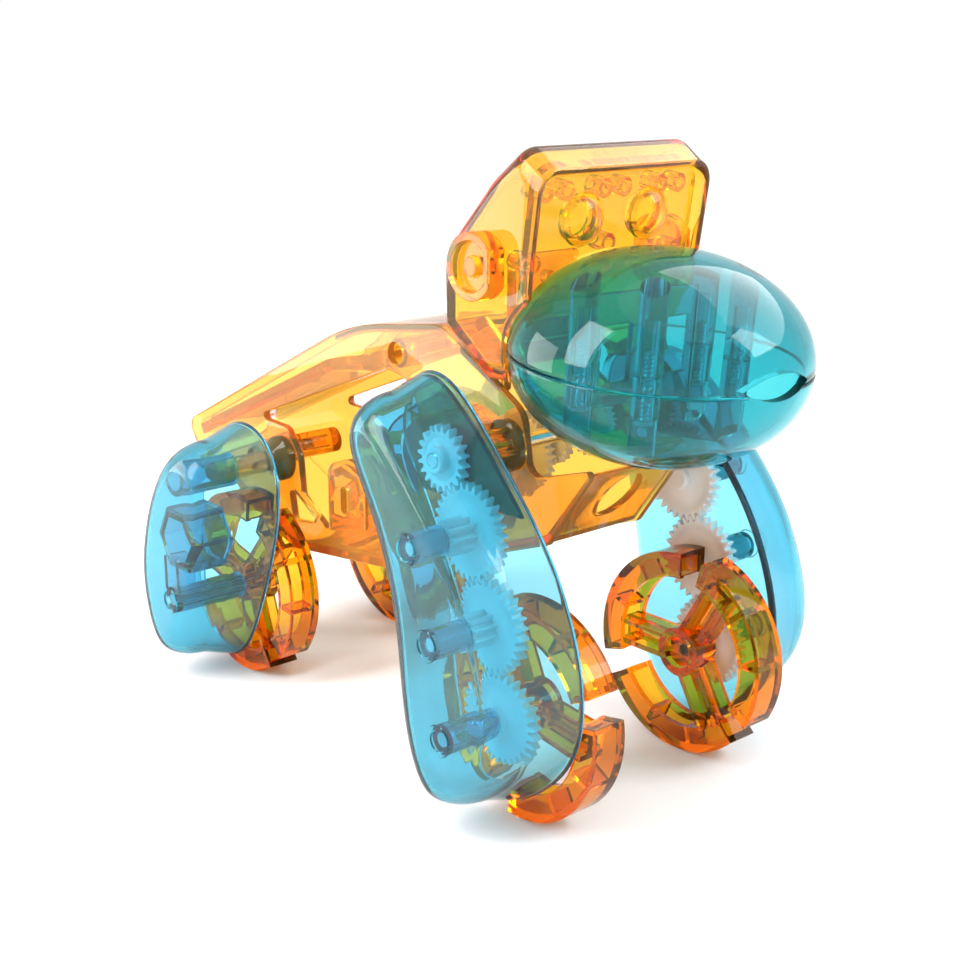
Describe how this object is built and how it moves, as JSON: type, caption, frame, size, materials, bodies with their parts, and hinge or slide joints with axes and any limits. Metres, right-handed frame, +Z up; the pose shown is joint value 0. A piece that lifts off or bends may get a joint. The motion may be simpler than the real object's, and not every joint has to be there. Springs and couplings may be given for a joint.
{
  "type": "walking robot toy",
  "caption": "Walking gorilla toy of clear amber and teal plastic, with white gear trains in its hollow front legs, turning clawed feet and a solar cell on its sloping back.",
  "frame": {"origin": "floor level under the middle of the toy's box", "axes": "+Z up, -Y to the front where the muzzle is, +X to the toy's left"},
  "size_m": [0.0924, 0.1792, 0.1277],
  "materials": {
    "amber_plastic": "clear gloss",
    "teal_plastic": "clear gloss",
    "gear_plastic": "satin",
    "steel": "drawn",
    "motor_steel": "plated",
    "black_plastic": "matt",
    "cell": "glazed"
  },
  "bodies": {
    "frame": {"body_side_right": "amber_plastic", "body_side_left": "amber_plastic", "back_cover": "amber_plastic", "solar_tray": "amber_plastic", "solar_cell": "cell", "belly_plate": "amber_plastic", "chest_plate": "amber_plastic", "neck_bracket": "amber_plastic", "head_shell": "amber_plastic", "face_plate": "amber_plastic", "eye_right": "amber_plastic", "eye_left": "amber_plastic", "ear_right": "amber_plastic", "ear_left": "amber_plastic", "muzzle_upper": "teal_plastic", "muzzle_lower": "teal_plastic", "muzzle_screws": "steel", "body_screws": "steel", "motor_can": "motor_steel", "motor_end_cap": "black_plastic", "motor_cradle": "amber_plastic", "reduction_pins": "steel", "rear_axle_right": "steel", "rear_axle_left": "steel", "rear_axle_caps": "amber_plastic", "front_leg_shell_right": "teal_plastic", "front_leg_shell_left": "teal_plastic", "shoulder_plate_right": "teal_plastic", "shoulder_plate_left": "teal_plastic", "shoulder_collar_right": "amber_plastic", "shoulder_collar_left": "amber_plastic", "rear_leg_shell_right": "teal_plastic", "rear_leg_shell_left": "teal_plastic", "hip_peg_right": "amber_plastic", "hip_peg_left": "amber_plastic", "idler_pins_right": "steel", "idler_pins_left": "steel"},
    "drive_train": {"drive_axle": "steel", "axle_gear": "gear_plastic", "top_gear_right": "gear_plastic", "top_gear_left": "gear_plastic"},
    "reduction_second": {"reduction_gear_second": "gear_plastic"},
    "reduction_first": {"reduction_gear_first": "gear_plastic"},
    "motor_rotor": {"motor_pinion": "gear_plastic"},
    "upper_idler_right": {"upper_idler_right": "gear_plastic"},
    "lower_idler_right": {"lower_idler_right": "gear_plastic"},
    "front_foot_right": {"front_foot_right": "amber_plastic", "front_axle_right": "steel", "foot_gear_right": "gear_plastic"},
    "rear_foot_right": {"rear_foot_right": "amber_plastic"},
    "upper_idler_left": {"upper_idler_left": "gear_plastic"},
    "lower_idler_left": {"lower_idler_left": "gear_plastic"},
    "front_foot_left": {"front_foot_left": "amber_plastic", "front_axle_left": "steel", "foot_gear_left": "gear_plastic"},
    "rear_foot_left": {"rear_foot_left": "amber_plastic"}
  },
  "joints": [
    {"name": "drive_spin", "type": "hinge", "parent": "frame", "child": "drive_train", "pos_m": [0, -0.0342, 0.0693], "axis": [1, 0, 0], "continuous": true},
    {"name": "upper_idler_right_spin", "type": "hinge", "parent": "frame", "child": "upper_idler_right", "pos_m": [0, -0.04204, 0.05651], "axis": [1, 0, 0], "continuous": true},
    {"name": "lower_idler_right_spin", "type": "hinge", "parent": "frame", "child": "lower_idler_right", "pos_m": [0, -0.04775, 0.03944], "axis": [1, 0, 0], "continuous": true},
    {"name": "front_foot_right_spin", "type": "hinge", "parent": "frame", "child": "front_foot_right", "pos_m": [0, -0.05134, 0.0218], "axis": [1, 0, 0], "continuous": true},
    {"name": "rear_foot_right_spin", "type": "hinge", "parent": "frame", "child": "rear_foot_right", "pos_m": [0, 0.04666, 0.0218], "axis": [1, 0, 0], "continuous": true},
    {"name": "upper_idler_left_spin", "type": "hinge", "parent": "frame", "child": "upper_idler_left", "pos_m": [0, -0.04204, 0.05651], "axis": [1, 0, 0], "continuous": true},
    {"name": "lower_idler_left_spin", "type": "hinge", "parent": "frame", "child": "lower_idler_left", "pos_m": [0, -0.04775, 0.03944], "axis": [1, 0, 0], "continuous": true},
    {"name": "front_foot_left_spin", "type": "hinge", "parent": "frame", "child": "front_foot_left", "pos_m": [0, -0.05134, 0.0218], "axis": [1, 0, 0], "continuous": true},
    {"name": "rear_foot_left_spin", "type": "hinge", "parent": "frame", "child": "rear_foot_left", "pos_m": [0, 0.04666, 0.0218], "axis": [1, 0, 0], "continuous": true},
    {"name": "reduction_second_spin", "type": "hinge", "parent": "frame", "child": "reduction_second", "pos_m": [0, -0.02668, 0.06656], "axis": [1, 0, 0], "continuous": true},
    {"name": "reduction_first_spin", "type": "hinge", "parent": "frame", "child": "reduction_first", "pos_m": [0, -0.02013, 0.06197], "axis": [1, 0, 0], "continuous": true},
    {"name": "motor_spin", "type": "hinge", "parent": "frame", "child": "motor_rotor", "pos_m": [0, -0.00902, 0.059], "axis": [1, 0, 0], "continuous": true}
  ],
  "couplings": [
    {"joint": "drive_spin", "follows": "front_foot_right_spin", "ratio": -1.5},
    {"joint": "upper_idler_right_spin", "follows": "front_foot_right_spin", "ratio": 1},
    {"joint": "lower_idler_right_spin", "follows": "front_foot_right_spin", "ratio": -1},
    {"joint": "upper_idler_left_spin", "follows": "front_foot_right_spin", "ratio": 1},
    {"joint": "lower_idler_left_spin", "follows": "front_foot_right_spin", "ratio": -1},
    {"joint": "front_foot_left_spin", "follows": "front_foot_right_spin", "ratio": 1},
    {"joint": "reduction_second_spin", "follows": "front_foot_right_spin", "ratio": 3.3},
    {"joint": "reduction_first_spin", "follows": "front_foot_right_spin", "ratio": -7.26},
    {"joint": "motor_spin", "follows": "front_foot_right_spin", "ratio": 26.136}
  ]
}
